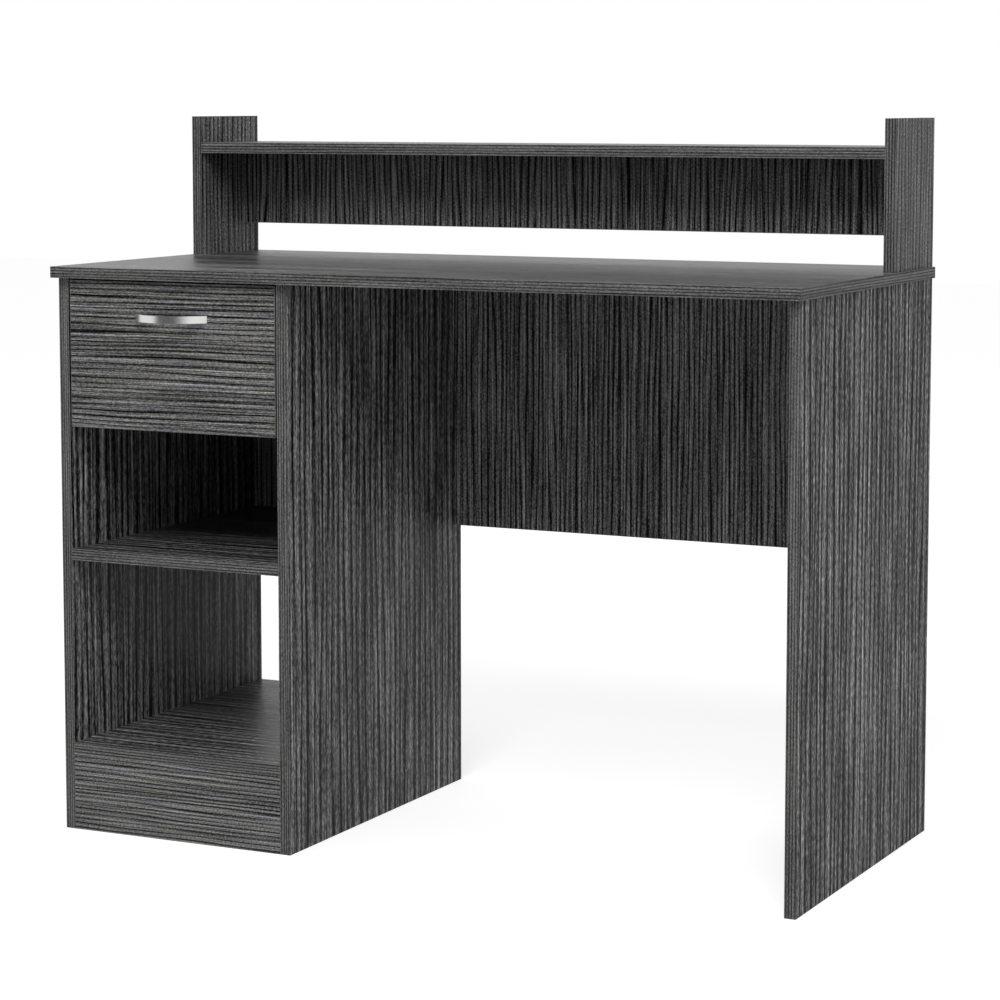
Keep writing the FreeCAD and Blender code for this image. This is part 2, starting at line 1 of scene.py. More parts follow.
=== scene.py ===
"""The looks of a computer desk: a finish for each board and fitting, a studio and a camera.

Lengths are metres in the desk's own frame, with +X to the right, +Y to the rear and +Z up.
"""

import logging
import math
from dataclasses import dataclass, replace
from enum import Enum
from typing import Any, Iterable, Optional, Union

import bmesh
import bpy
from mathutils import Matrix, Vector


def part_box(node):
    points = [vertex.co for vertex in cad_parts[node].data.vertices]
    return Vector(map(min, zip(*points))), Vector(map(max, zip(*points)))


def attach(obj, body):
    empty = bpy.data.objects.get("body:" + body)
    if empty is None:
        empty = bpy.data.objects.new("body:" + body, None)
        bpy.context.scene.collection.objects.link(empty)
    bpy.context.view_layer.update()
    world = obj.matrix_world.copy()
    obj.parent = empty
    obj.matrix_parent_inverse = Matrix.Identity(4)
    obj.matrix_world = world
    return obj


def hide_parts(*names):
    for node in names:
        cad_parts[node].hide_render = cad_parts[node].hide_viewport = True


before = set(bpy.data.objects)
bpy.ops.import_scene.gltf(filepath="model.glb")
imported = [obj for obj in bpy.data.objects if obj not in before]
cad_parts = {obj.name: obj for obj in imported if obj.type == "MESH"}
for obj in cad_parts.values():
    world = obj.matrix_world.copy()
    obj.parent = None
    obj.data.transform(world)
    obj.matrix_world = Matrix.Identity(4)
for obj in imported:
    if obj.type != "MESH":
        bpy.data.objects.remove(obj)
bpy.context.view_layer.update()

LOG = logging.getLogger("desk")
MM = 0.001
DISPLAY_GAMMA = 2.2
WELD_GAP = 0.01 * MM
SHARP_ANGLE = math.radians(40)
WHITE = (1.0, 1.0, 1.0)

BMesh = bmesh.types.BMesh
Material = bpy.types.Material
Socket = bpy.types.NodeSocket
Colour = tuple[float, float, float]
Point = tuple[float, float, float]
Pair = tuple[float, float]
Outline = list[Pair]
Edges = list[bmesh.types.BMEdge]
HeadAxes = tuple[Vector, Vector, Vector, Vector]
Place = list["Field"]
Number = Union["Field", float]
Paint = Union[Socket, Colour]


class Axis(Enum):
    """A direction of the desk's frame, by its index in a vector."""

    X = 0
    Y = 1
    Z = 2


def other_axis(first: Axis, second: Axis) -> Axis:
    """The axis square to both of these."""
    return Axis(3 - first.value - second.value)


class ShaderTree:
    """The nodes of one material or world, made through a single method."""

    def __init__(self, owner: Union[Material, bpy.types.World]) -> None:
        """Empty the owner's tree.

        Args:
            owner: the material or world whose nodes are made here.
        """
        owner.use_nodes = True
        self.tree = owner.node_tree
        self.tree.nodes.clear()

    def node(
        self,
        kind: str,
        settings: Optional[dict[str, Any]] = None,
        inputs: Optional[dict[str, Any]] = None,
    ) -> bpy.types.Node:
        """Add a node.

        Args:
            kind: the node's type without its ShaderNode prefix.
            settings: its own settings, set before its sockets.
            inputs: values or links for its sockets, by name or identifier.

        Returns:
            The new node.
        """
        made = self.tree.nodes.new("ShaderNode" + kind)
        for name, value in (settings or {}).items():
            setattr(made, name, value)
        for key, value in (inputs or {}).items():
            self.feed(find_socket(made.inputs, key), value)
        return made

    def feed(self, socket: Socket, value: Any) -> None:
        """Give a socket a link or a constant.

        Args:
            socket: the input that is set.
            value: a Field, an output socket, a colour or a number.
        """
        if isinstance(value, Field):
            self.tree.links.new(value.socket, socket)
        elif isinstance(value, Socket):
            self.tree.links.new(value, socket)
        elif socket.type == "RGBA" and len(value) == 3:
            socket.default_value = (*value, 1.0)
        else:
            socket.default_value = value

    def value(self, node: bpy.types.Node, output: str) -> "Field":
        """One of a node's outputs as a Field."""
        return Field(self, find_socket(node.outputs, output))

    def position(self) -> Place:
        """The shaded point on the piece itself.

        Returns:
            Its X, Y and Z.
        """
        place = self.node("TexCoord")
        parts = self.node("SeparateXYZ", inputs={"Vector": place.outputs["Object"]})
        return [self.value(parts, name) for name in "XYZ"]

    def noise(self, point: list[Number], detail: float, roughness: float = 0.55) -> "Field":
        """Smooth noise about 0.5.

        Args:
            point: three Fields or numbers, where one unit is one cell of the noise.
            detail: how many finer octaves are added.
            roughness: how strong each finer octave is.

        Returns:
            The noise, from 0 to 1.
        """
        vector = self.node("CombineXYZ", inputs=dict(zip("XYZ", point)))
        made = self.node(
            "TexNoise",
            {"noise_dimensions": "3D"},
            {"Vector": vector.outputs[0], "Scale": 1.0, "Detail": detail, "Roughness": roughness},
        )
        return self.value(made, "Fac")

    def mixed(self, factor: Number, first: Paint, second: Paint) -> Socket:
        """A colour between two.

        Args:
            factor: the share of the second.
            first: the colour at 0.
            second: the colour at 1.

        Returns:
            The colour.
        """
        made = self.node(
            "Mix",
            {"data_type": "RGBA"},
            {"Factor_Float": factor, "A_Color": first, "B_Color": second},
        )
        return find_socket(made.outputs, "Result_Color")

    def scaled(self, colour: Paint, amount: Number) -> Socket:
        """A colour times a number."""
        made = self.node("VectorMath", {"operation": "SCALE"}, {"Vector": colour, "Scale": amount})
        return made.outputs[0]

    def bumped(self, height: "Field", depth: float, strength: float) -> Socket:
        """A normal that follows a height.

        Args:
            height: from 0 to 1.
            depth: how deep 1 is.
            strength: the share of the bump that shows.

        Returns:
            The Bump node's output.
        """
        made = self.node("Bump", inputs={"Strength": strength, "Distance": depth, "Height": height})
        return made.outputs[0]

    def surface(self, inputs: dict[str, Any]) -> None:
        """End the tree in one principled shader with these inputs."""
        shader = self.node("BsdfPrincipled", inputs=inputs)
        self.node("OutputMaterial", inputs={"Surface": shader.outputs[0]})


def find_socket(sockets: Iterable[Socket], key: str) -> Socket:
    """One of a node's sockets.

    Args:
        sockets: the node's inputs or outputs.
        key: an identifier, or the name of an enabled socket.

    Returns:
        The socket.
    """
    for socket in sockets:
        if socket.identifier == key:
            return socket
    return next(socket for socket in sockets if socket.name == key and socket.enabled)


class Field:
    """A shader value that takes part in sums, and adds the Math nodes that they need."""

    def __init__(self, shader: ShaderTree, socket: Socket) -> None:
        """Wrap a socket.

        Args:
            shader: the tree that holds the socket.
            socket: an output with a single number.
        """
        self.shader = shader
        self.socket = socket

    def maths(self, operation: str, *values: Number) -> "Field":
        """Add one Math node.

        Args:
            operation: what it works out.
            values: its inputs.

        Returns:
            The result.
        """
        made = self.shader.node("Math", {"operation": operation})
        for socket, value in zip(made.inputs, values):
            self.shader.feed(socket, value)
        return Field(self.shader, made.outputs[0])

    def __add__(self, other: Number) -> "Field":
        """The sum."""
        return self.maths("ADD", self, other)

    __radd__ = __add__

    def __sub__(self, other: Number) -> "Field":
        """The difference."""
        return self.maths("SUBTRACT", self, other)

    def __rsub__(self, other: Number) -> "Field":
        """The difference from a number."""
        return self.maths("SUBTRACT", other, self)

    def __mul__(self, other: Number) -> "Field":
        """The product."""
        return self.maths("MULTIPLY", self, other)

    __rmul__ = __mul__

    def __truediv__(self, other: Number) -> "Field":
        """The quotient."""
        return self.maths("DIVIDE", self, other)

    def __pow__(self, other: Number) -> "Field":
        """The power."""
        return self.maths("POWER", self, other)

    def size(self) -> "Field":
        """The value without its sign."""
        return self.maths("ABSOLUTE", self)

    def least(self, other: Number) -> "Field":
        """The smaller of the two."""
        return self.maths("MINIMUM", self, other)

    def most(self, other: Number) -> "Field":
        """The larger of the two."""
        return self.maths("MAXIMUM", self, other)

    def ramp(self, start: float, end: float) -> "Field":
        """A smooth step.

        Args:
            start: the value where it is 0.
            end: the value where it is 1, which may lie below start.

        Returns:
            The step, from 0 to 1.
        """
        made = self.shader.node(
            "MapRange",
            {"interpolation_type": "SMOOTHSTEP"},
            {"Value": self, "From Min": start, "From Max": end},
        )
        return self.shader.value(made, "Result")


def new_material(name: str) -> tuple[Material, ShaderTree]:
    """A material and its empty tree."""
    material = bpy.data.materials.new(name)
    return material, ShaderTree(material)


@dataclass(frozen=True)
class Chipboard:
    """The core that shows where a board's skin ends."""

    light: Colour = (0.42, 0.31, 0.19)
    dark: Colour = (0.20, 0.13, 0.075)
    chip: float = 1.6 * MM
    chip_tones: Pair = (0.4, 0.62)
    skin: float = 0.35 * MM
    skin_fade: Pair = (0.8, 1.2)

    def colour(self, shader: ShaderTree, place: Place) -> Socket:
        """Pressed chips of two tones.

        Args:
            shader: the tree that it is made in.
            place: the shaded point.

        Returns:
            The colour.
        """
        chips = shader.noise([part / self.chip for part in place], 2.0)
        return shader.mixed(chips.ramp(*self.chip_tones), self.light, self.dark)

    def mask(self, place: Place, axis: Axis, low: float, high: float) -> Field:
        """1 where the point lies deeper than the skin, between a board's two faces.

        Args:
            place: the shaded point.
            axis: the direction of the board's thickness.
            low: where its lower face lies.
            high: where its upper face lies.

        Returns:
            The mask.
        """
        across = place[axis.value]
        depth = (across - low).least(high - across)
        start, end = self.skin_fade
        return depth.ramp(self.skin * start, self.skin * end)


# A line's number times LINE_STEP is its place in the noise that sets its strength
LINE_STEP = 3.73
# The pitches of the fine and the broad streaks, in ribs, and of the lines' drift, in lines
BODY_SHARE, BROAD_SHARE, DRIFT_SHARE = 0.36, 5, 6
# How many short streaks a long one takes, and the share of a line's width that is fully dark
SHORT_RUNS, LINE_HEART = 4, 0.3


class PrintLayer(Enum):
    """The layers of the printed grain, each with the shift that keeps its noise apart."""

    DARK_LINES = 3.1
    HAIR_LINES = 12.4
    PALE_LINES = 57.3
    BODY = 17.2
    BROAD = 23.8
    FIBRES = 41.3
    SWING = 31.7
    TINT = 5.5


@dataclass(frozen=True)
class WoodGrain:
    """Charcoal wood grain as printed on melamine: ribs with dark lines, hair lines and fibres.

    The greys are shares of full white as a screen shows them. A few boards take a darker grey as painted
    shade.
    """

    grey: float = 0.332
    contrast: float = 1.5
    rib_pitch: float = 8 * MM
    rib_drift: float = 2.5
    rib_depth: float = 0.04
    line_depth: float = 0.17
    line_width: float = 0.17
    hair_share: float = 0.43
    hair_depth: float = 0.09
    hair_width: float = 0.24
    pale_share: float = 0.67
    pale_depth: float = 0.075
    pale_width: float = 0.2
    line_cover: float = 0.74
    streak_depth: float = 0.4
    broad_depth: float = 0.1
    fibre_depth: float = 0.36
    fibre_size: Pair = (1.2 * MM, 3 * MM)
    grain_length: float = 0.8
    wave: float = 1.2 * MM
    wave_width: float = 0.045
    wave_length: float = 0.16
    line_fade: Pair = (0.3, 0.62)
    faintest: float = 0.15
    darkest: float = 0.03
    tint: float = 0.0
    tint_patch: Pair = (9 * MM, 0.07)
    tint_tones: Pair = (0.36, 0.64)
    cool: Colour = (0.98, 0.98, 1.01)
    warm: Colour = (1.02, 1.01, 0.94)

    def greys(self, shader: ShaderTree, across: Field, along: Field, layer: Number) -> tuple[Field, Field]:
        """The printed grey at a point.

        Args:
            shader: the tree that it is made in.
            across: the distance across the grain.
            along: the distance along the grain.
            layer: a number that differs from board to board.

        Returns:
            The grey as a screen shows it, and the dark lines alone.
        """
        swing_place = [across / self.wave_width, along / self.wave_length, layer + PrintLayer.SWING.value]
        swing = shader.noise(swing_place, 1.0)
        bent = across + (swing - 0.5) * (2 * self.wave)
        short = self.grain_length / SHORT_RUNS

        def streaks(pitch: float, length: float, kind: PrintLayer, detail: float) -> Field:
            """Noise drawn out along the grain."""
            return shader.noise([bent / (pitch / 2), along / length, layer + kind.value], detail)

        def lines(pitch: float, width: float, kind: PrintLayer) -> tuple[Field, Field]:
            """Parallel lines, each of an uneven strength along its length.

            Args:
                pitch: the distance from line to line.
                width: half of a line's width, in pitches.
                kind: the layer that they belong to.

            Returns:
                The lines, and the distance from the nearest in pitches.
            """
            drift = streaks(pitch * DRIFT_SHARE, self.grain_length, kind, 1.0) - 0.5
            phase = bent / pitch + drift * self.rib_drift
            gap = (phase.maths("FRACT", phase) - 0.5).size()
            number = phase.maths("FLOOR", phase)
            strength = shader.noise([number * LINE_STEP, along / short, layer + kind.value], 1.0)
            strength = strength.ramp(*self.line_fade) * (1.0 - self.faintest) + self.faintest
            return gap.ramp(width, width * LINE_HEART) * strength, gap

        dark, gap = lines(self.rib_pitch, self.line_width, PrintLayer.DARK_LINES)
        hairs, _ = lines(self.rib_pitch * self.hair_share, self.hair_width, PrintLayer.HAIR_LINES)
        pale, _ = lines(self.rib_pitch * self.pale_share, self.pale_width, PrintLayer.PALE_LINES)
        ribs = gap.maths("COSINE", gap * (2 * math.pi))
        body = streaks(self.rib_pitch * BODY_SHARE, short, PrintLayer.BODY, 2.0) - 0.5
        broad = streaks(self.rib_pitch * BROAD_SHARE, self.grain_length, PrintLayer.BROAD, 1.0) - 0.5
        wide, long = self.fibre_size
        fibres = shader.noise([bent / wide, along / long, layer + PrintLayer.FIBRES.value], 2.0) - 0.5
        shade = (
            body * self.streak_depth
            + broad * self.broad_depth
            + fibres * self.fibre_depth
            + pale * self.pale_depth
            - ribs * self.rib_depth
            - dark * self.line_depth
            - hairs * self.hair_depth
        )
        lost = self.line_cover * (
            self.line_depth * self.line_width
            + self.hair_depth * self.hair_width
            - self.pale_depth * self.pale_width
        )
        return ((shade + lost) * self.contrast + self.grey).most(self.darkest), dark

    def colour(self, shader: ShaderTree, grey: Field, across: Field, along: Field) -> Socket:
        """A grey with the faint warm and cool patches of the print.

        Args:
            shader: the tree that it is made in.
            grey: the grey as a screen shows it.
            across: the distance across the grain.
            along: the distance along the grain.

        Returns:
            The colour.
        """
        tint = WHITE
        if self.tint:
            wide, long = self.tint_patch
            patch = shader.noise([across / wide, along / long, PrintLayer.TINT.value], 1.0)
            tint = shader.mixed(patch.ramp(*self.tint_tones) * self.tint, self.cool, self.warm)
        return shader.scaled(tint, grey ** DISPLAY_GAMMA)


@dataclass(frozen=True)
class Laminate:
    """A board faced with printed wood grain over chipboard."""

    name: str
    grain_axis: Axis
    thick_axis: Axis
    low: float
    high: float
    layer: float
    grain: WoodGrain = WoodGrain()
    core: Chipboard = Chipboard()
    raw_edges: bool = True
    roughness: float = 0.5
    shine: float = 0.06
    line_roughness: float = 0.12
    core_roughness: float = 0.3
    grey_roughness: float = 0.5
    middle_grey: float = 0.35
    pore_depth: float = 0.08 * MM
    pore_strength: float = 0.5
    line_groove: float = 0.3
    layer_rise: float = 40

    def material(self) -> Material:
        """Make the finish.

        Returns:
            Its material.
        """
        material, shader = new_material(self.name)
        place = shader.position()
        across = place[other_axis(self.grain_axis, self.thick_axis).value]
        along = place[self.grain_axis.value]
        layer = place[self.thick_axis.value] * self.layer_rise + self.layer
        grey, dark = self.grain.greys(shader, across, along, layer)
        colour = self.grain.colour(shader, grey, across, along)
        roughness = self.roughness + dark * self.line_roughness
        roughness = roughness + (grey - self.middle_grey) * self.grey_roughness
        if self.raw_edges:
            cut = self.core.mask(place, self.thick_axis, self.low, self.high)
            colour = shader.mixed(cut, colour, self.core.colour(shader, place))
            roughness = roughness + cut * self.core_roughness
        shader.surface({
            "Base Color": colour,
            "Roughness": roughness,
            "Normal": shader.bumped(grey - dark * self.line_groove, self.pore_depth, self.pore_strength),
            "Specular IOR Level": self.shine,
        })
        return material


@dataclass(frozen=True)
class EdgeBand:
    """A thin plastic band printed like the boards, with its lines along its own length."""

    name: str
    thick_axis: Axis
    low: float
    layer: float
    grain: WoodGrain
    first_line: float = 0.85
    roughness: float = 0.5
    line_roughness: float = 0.1
    shine: float = 0.1
    pore_depth: float = 0.06 * MM
    pore_strength: float = 0.5

    def material(self) -> Material:
        """Make the finish.

        Returns:
            Its material.
        """
        material, shader = new_material(self.name)
        place = shader.position()
        across = place[self.thick_axis.value] - (self.low - self.first_line * self.grain.rib_pitch)
        # Each strip is flat along one of the other two axes, so their sum runs along it
        ahead, beside = [place[axis.value] for axis in Axis if axis is not self.thick_axis]
        along = ahead + beside
        grey, dark = self.grain.greys(shader, across, along, self.layer)
        shader.surface({
            "Base Color": self.grain.colour(shader, grey, across, along),
            "Roughness": self.roughness + dark * self.line_roughness,
            "Normal": shader.bumped(grey, self.pore_depth, self.pore_strength),
            "Specular IOR Level": self.shine,
        })
        return material


@dataclass(frozen=True)
class BoxFoil:
    """The plain dark foil of the drawer's inner boards, over chipboard."""

    name: str
    thick_axis: Axis
    low: float
    high: float
    light: Colour = (0.115, 0.115, 0.115)
    dark: Colour = (0.07, 0.07, 0.072)
    fibre_size: Pair = (2 * MM, 0.06)
    fibre_tones: Pair = (0.3, 0.7)
    fibre_depth: float = 0.05 * MM
    roughness: float = 0.5
    fibre_roughness: float = 0.12
    core_roughness: float = 0.3
    core: Chipboard = Chipboard()

    def material(self) -> Material:
        """Make the finish.

        Returns:
            Its material.
        """
        material, shader = new_material(self.name)
        place = shader.position()
        wide, long = self.fibre_size
        fibres = shader.noise([place[0] / wide, place[1] / long, place[2] / wide], 2.0)
        cut = self.core.mask(place, self.thick_axis, self.low, self.high)
        foil = shader.mixed(fibres.ramp(*self.fibre_tones), self.dark, self.light)
        shader.surface({
            "Base Color": shader.mixed(cut, foil, self.core.colour(shader, place)),
            "Roughness": self.roughness + fibres * self.fibre_roughness + cut * self.core_roughness,
            "Normal": shader.bumped(fibres, self.fibre_depth, 0.5),
        })
        return material


@dataclass(frozen=True)
class Hardboard:
    """A thin pressed board, painted above and bare below."""

    middle_z: float
    painted: Colour = (0.11, 0.11, 0.11)
    bare: Colour = (0.24, 0.145, 0.08)
    fibre: float = 1.4 * MM
    fibre_depth: float = 0.12 * MM
    paint_start: float = 0.2 * MM
    paint_end: float = 0.6 * MM
    roughness: float = 0.8
    paint_gloss: float = 0.25

    def material(self) -> Material:
        """Make the finish.

        Returns:
            Its material.
        """
        material, shader = new_material("hardboard")
        place = shader.position()
        fibres = shader.noise([part / self.fibre for part in place], 3.0, 0.65)
        upper = (place[2] - self.middle_z).ramp(self.paint_start, self.paint_end)
        paint = shader.scaled(self.painted, 0.85 + fibres * 0.3)
        below = shader.scaled(self.bare, 0.6 + fibres * 0.8)
        shader.surface({
            "Base Color": shader.mixed(upper, below, paint),
            "Roughness": self.roughness - upper * self.paint_gloss,
            "Normal": shader.bumped(fibres, self.fibre_depth, 0.5),
        })
        return material


class MetalKind(Enum):
    """The bare metals, each with its colour, roughness and tooling marks."""

    SATIN_NICKEL = ("satin_nickel", (0.68, 0.675, 0.67), 0.25, 0.02)
    ZINC_PLATE = ("zinc_plate", (0.60, 0.61, 0.63), 0.34, 0.14)
    CAM_ALLOY = ("cam_alloy", (0.46, 0.46, 0.47), 0.48, 0.2)


@dataclass(frozen=True)
class Metal:
    """Bare metal with fine marks drawn out along X."""

    kind: MetalKind
    mark_size: Pair = (6 * MM, 0.3 * MM)
    mark_depth: float = 0.004 * MM
    bloom_size: float = 5 * MM

    def material(self) -> Material:
        """Make the finish.

        Returns:
            Its material.
        """
        name, colour, roughness, marks = self.kind.value
        material, shader = new_material(name)
        place = shader.position()
        long, wide = self.mark_size
        brush = shader.noise([place[0] / long, place[1] / wide, place[2] / wide], 2.0)
        bloom = shader.noise([part / self.bloom_size for part in place], 2.0)
        shader.surface({
            "Base Color": shader.scaled(colour, 1.0 + (bloom - 0.5) * marks),
            "Metallic": 1.0,
            "Roughness": roughness + (brush - 0.5) * marks + (bloom - 0.5) * marks,
            "Normal": shader.bumped(brush, self.mark_depth, 0.3),
        })
        return material


class CoatKind(Enum):
    """The plain coats and plastics, each with colours, roughness and grain size."""

    RAIL_COAT = ("rail_powder_coat", (0.74, 0.74, 0.72), (0.66, 0.66, 0.64), 0.42, 1.2 * MM)
    NYLON = ("roller_nylon", (0.82, 0.82, 0.79), (0.74, 0.74, 0.71), 0.38, 2.5 * MM)
    BEECH = ("beech_dowel", (0.60, 0.42, 0.26), (0.44, 0.29, 0.17), 0.62, 1.0 * MM)


@dataclass(frozen=True)
class Coat:
    """A plain surface with a fine uneven skin."""

    kind: CoatKind
    patch: float = 12
    tones: Pair = (0.35, 0.65)
    skin_roughness: float = 0.14
    skin_depth: float = 0.03 * MM

    def material(self) -> Material:
        """Make the finish.

        Returns:
            Its material.
        """
        name, light, dark, roughness, grain = self.kind.value
        material, shader = new_material(name)
        place = shader.position()
        skin = shader.noise([part / grain for part in place], 2.0)
        tone = shader.noise([part / (grain * self.patch) for part in place], 1.0)
        shader.surface({
            "Base Color": shader.mixed(tone.ramp(*self.tones), light, dark),
            "Roughness": roughness + (skin - 0.5) * self.skin_roughness,
            "Normal": shader.bumped(skin, self.skin_depth, 0.45),
        })
        return material


def dress(node: str, material: Material) -> None:
    """Give a CAD node its finish in every one of its slots.

    Args:
        node: the node's name.
        material: its finish.
    """
    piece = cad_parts[node]
    if not piece.material_slots:
        piece.data.materials.append(material)
    for slot in piece.material_slots:
        slot.link = "OBJECT"
        slot.material = material
    LOG.info("%s has the finish %s", node, material.name)


def soften(node: str, width: float) -> None:
    """Round the edges of a CAD node, with modifiers that leave its mesh alone.

    Args:
        node: the node's name.
        width: how far the rounding reaches from each edge.
    """
    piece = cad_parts[node]
    weld = piece.modifiers.new("weld", "WELD")
    weld.merge_threshold = WELD_GAP
    bevel = piece.modifiers.new("bevel", "BEVEL")
    bevel.width = width
    bevel.segments = 2
    bevel.limit_method = "ANGLE"
    bevel.angle_limit = SHARP_ANGLE
    bevel.harden_normals = True


@dataclass(frozen=True)
class Board:
    """One board's grain: how it runs, how it is printed and whether it carries a band.

    Its layer is a number that sets its print apart from the other boards'.
    """

    node: str
    grain_axis: Axis
    thick_axis: Axis
    layer: float
    grain: WoodGrain = WoodGrain()
    banded: bool = True
    band_grey: float = 0.31
    raw_edges: bool = True
    roughness: float = 0.5
    shine: float = 0.06
    band_shift: float = 50
    band_round: float = 0.25 * MM

    def dress(self) -> None:
        """Dress the board and its edge band."""
        low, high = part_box(self.node)
        index = self.thick_axis.value
        face = Laminate(
            self.node + "_laminate", self.grain_axis, self.thick_axis, low[index], high[index],
            self.layer, self.grain, raw_edges=self.raw_edges, roughness=self.roughness, shine=self.shine,
        )
        dress(self.node, face.material())
        if self.banded:
            grain = replace(BAND, grey=self.band_grey)
            layer = self.layer + self.band_shift
            band = EdgeBand(self.node + "_band", self.thick_axis, low[index], layer, grain)
            dress(self.node + "_edge_band", band.material())
            soften(self.node + "_edge_band", self.band_round)


BAND = WoodGrain(
    contrast=1.3, rib_pitch=3.7 * MM, rib_drift=0.7, rib_depth=0.045, line_depth=0.16,
    hair_depth=0.03, pale_depth=0.03, streak_depth=0.26, wave=0.3 * MM, grain_length=0.4, tint=0.6,
)
SIDE = WoodGrain(
    grey=0.328, contrast=1.84, rib_pitch=17.5 * MM, rib_drift=2.2, line_width=0.15, hair_share=0.44,
    hair_depth=0.11, fibre_size=(2.2 * MM, 7 * MM), fibre_depth=0.48, grain_length=0.6, wave=1.0 * MM,
)
UPRIGHT = WoodGrain(
    grey=0.315, contrast=1.55, rib_pitch=12.5 * MM, hair_share=0.5, rib_drift=2.4, streak_depth=0.3,
    fibre_size=(1.7 * MM, 3.5 * MM), fibre_depth=0.7, grain_length=0.35, wave=0.8 * MM,
)
# The right panel's outer face is a darker copy of the side print, as painted shade that offsets the lamp's
# stronger light on that side.
OUTER_SIDE_PRINT_AND_PAINTED_SHADE = replace(SIDE, grey=0.311, contrast=2.08, line_depth=0.19, pale_depth=0.05)
REAR = WoodGrain(
    grey=0.322, contrast=1.7, rib_pitch=8.5 * MM, fibre_depth=0.48, grain_length=0.45, wave=0.8 * MM,
)
NICHE_REAR = replace(REAR, contrast=1.4)
HUTCH_REAR = WoodGrain(
    grey=0.31, contrast=1.62, rib_pitch=9 * MM, fibre_depth=0.52, grain_length=0.28, wave=0.8 * MM,
)
LYING = WoodGrain(
    grey=0.29, contrast=1.75, rib_pitch=11 * MM, rib_drift=3.5, broad_depth=0.3,
    fibre_size=(2.5 * MM, 9 * MM), fibre_depth=0.34, wave=1.6 * MM, tint=0.5,
)
BOTTOM = replace(
    LYING, grey=0.28, contrast=1.75, rib_pitch=17 * MM, rib_drift=2.2, hair_share=0.47, hair_depth=0.12,
    line_depth=0.19, broad_depth=0.12, fibre_depth=0.45, wave=1.0 * MM,
)
# The pedestal shelf is a darker copy of the bottom shelf's print, as painted shade for the niche under the
# drawer.
SHELF_PRINT_AND_PAINTED_SHADE = replace(BOTTOM, grey=0.258)
# The desktop's top is printed darker than the other boards as painted shade, which offsets the stronger
# light that falls on it from above.
TOP_PRINT_AND_PAINTED_SHADE = WoodGrain(
    grey=0.235, contrast=1.6, rib_pitch=11 * MM, rib_drift=3.5, broad_depth=0.45,
    fibre_size=(3 * MM, 14 * MM), fibre_depth=0.36, wave=2.0 * MM, tint=0.5,
)
FRONT = WoodGrain(
    grey=0.32, contrast=1.55, rib_pitch=7.6 * MM, line_width=0.15, hair_share=0.38, hair_depth=0.12,
    fibre_depth=0.44, grain_length=0.6, wave=1.4 * MM, tint=1.0,
)
KICK = WoodGrain(
    grey=0.338, contrast=1.55, rib_pitch=6 * MM, fibre_depth=0.48, grain_length=0.5, wave=1.4 * MM,
    tint=1.0,
)


@dataclass
class Carcass:
    """The desktop, the three panels, the pedestal's boards and the boards at the rear."""

    boards: tuple[Board, ...] = (
        # The desktop's darker grey is painted shade for the light from above.
        Board("desktop", Axis.X, Axis.Z, 1.3, TOP_PRINT_AND_PAINTED_SHADE, band_grey=0.292, roughness=0.42, shine=0.22),
        Board("left_side_panel", Axis.Z, Axis.X, 2.6, SIDE),
        Board("pedestal_divider_panel", Axis.Z, Axis.X, 4.1, SIDE),
        # The right panel's darker grey is painted shade for the lamp's light on that side.
        Board("right_side_panel", Axis.Z, Axis.X, 5.9, OUTER_SIDE_PRINT_AND_PAINTED_SHADE, band_grey=0.3, shine=0.02),
        # The pedestal shelf's darker grey is painted shade.
        Board("pedestal_shelf", Axis.X, Axis.Z, 7.2, SHELF_PRINT_AND_PAINTED_SHADE, raw_edges=False, roughness=0.42, shine=0.14),
        Board("bottom_shelf", Axis.X, Axis.Z, 28.8, BOTTOM, roughness=0.42, shine=0.14),
        Board("kick_plate", Axis.X, Axis.Y, 10.1, KICK, banded=False),
        Board("niche_back_panel", Axis.Z, Axis.Y, 11.7, NICHE_REAR),
        Board("modesty_panel", Axis.Z, Axis.Y, 13.4, REAR),
    )

    def build(self) -> None:
        """Dress every board."""
        for board in self.boards:
            board.dress()


@dataclass
class Hutch:
    """The two uprights, the shelf between them and the back board."""

    boards: tuple[Board, ...] = (
        Board("hutch_left_upright", Axis.Z, Axis.X, 15.2, UPRIGHT),
        Board("hutch_right_upright", Axis.Z, Axis.X, 16.6, UPRIGHT),
        Board("hutch_shelf", Axis.X, Axis.Z, 18.3, LYING, roughness=0.42, shine=0.14),
        Board("hutch_back_panel", Axis.Z, Axis.Y, 19.9, HUTCH_REAR),
    )

    def build(self) -> None:
        """Dress every board."""
        for board in self.boards:
            board.dress()


@dataclass
class Drawer:
    """The drawer's front, its inner boards and its thin bottom."""

    front: Board = Board("drawer_front", Axis.X, Axis.Y, 21.5, FRONT)
    inner_boards: tuple[tuple[str, Axis], ...] = (
        ("drawer_left_side", Axis.X),
        ("drawer_right_side", Axis.X),
        ("drawer_back", Axis.Y),
    )

    def build(self) -> None:
        """Dress the drawer's boards."""
        self.front.dress()
        for node, axis in self.inner_boards:
            low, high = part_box(node)
            foil = BoxFoil(node + "_foil", axis, low[axis.value], high[axis.value])
            dress(node, foil.material())
        low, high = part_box("drawer_bottom")
        dress("drawer_bottom", Hardboard((low.z + high.z) / 2).material())


def stand_in(
    made: BMesh, name: str, body: str, node: str, material: Material,
) -> bpy.types.Object:
    """Turn a finished mesh into the piece that shows in place of a CAD node.

    Args:
        made: the mesh, which is freed.
        name: the piece's name.
        body: the body that it rides.
        node: the node that it replaces.
        material: its finish.

    Returns:
        The piece.
    """
    bmesh.ops.recalc_face_normals(made, faces=made.faces)
    mesh = bpy.data.meshes.new(name)
    made.to_mesh(mesh)
    made.free()
    mesh.materials.append(material)
    piece = bpy.data.objects.new(name, mesh)
    bpy.context.scene.collection.objects.link(piece)
    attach(piece, body)
    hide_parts(node)
    return piece


